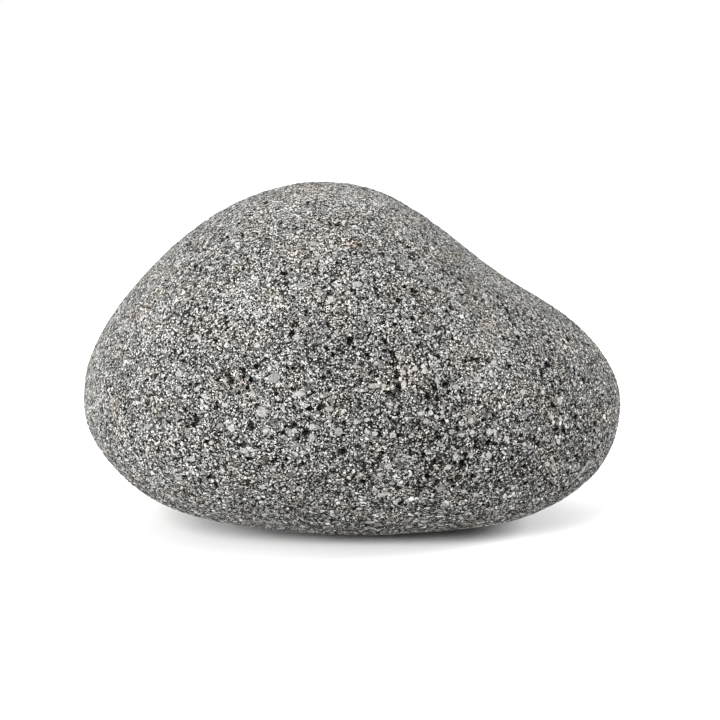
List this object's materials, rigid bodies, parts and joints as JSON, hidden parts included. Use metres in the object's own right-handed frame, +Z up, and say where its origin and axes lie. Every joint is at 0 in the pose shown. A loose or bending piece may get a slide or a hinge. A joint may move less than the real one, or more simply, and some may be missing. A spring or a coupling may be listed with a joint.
{
  "type": "lava rock",
  "caption": "Water-worn cobble of grey vesicular lava, lopsided with one low nose, for display, aquariums or garden use; rests on its worn underside.",
  "frame": {"origin": "on the level the stone rests on, under the middle of its bounding box", "axes": "+X along the stone's length towards its low nose, -Y towards its front, +Z up from the worn underside"},
  "size_m": [0.14, 0.104, 0.0895],
  "materials": {
    "lava": "dry, rough and worn: fine light and dark grains with open pores"
  },
  "bodies": {
    "root": {"lava_rock": "lava"}
  },
  "joints": []
}
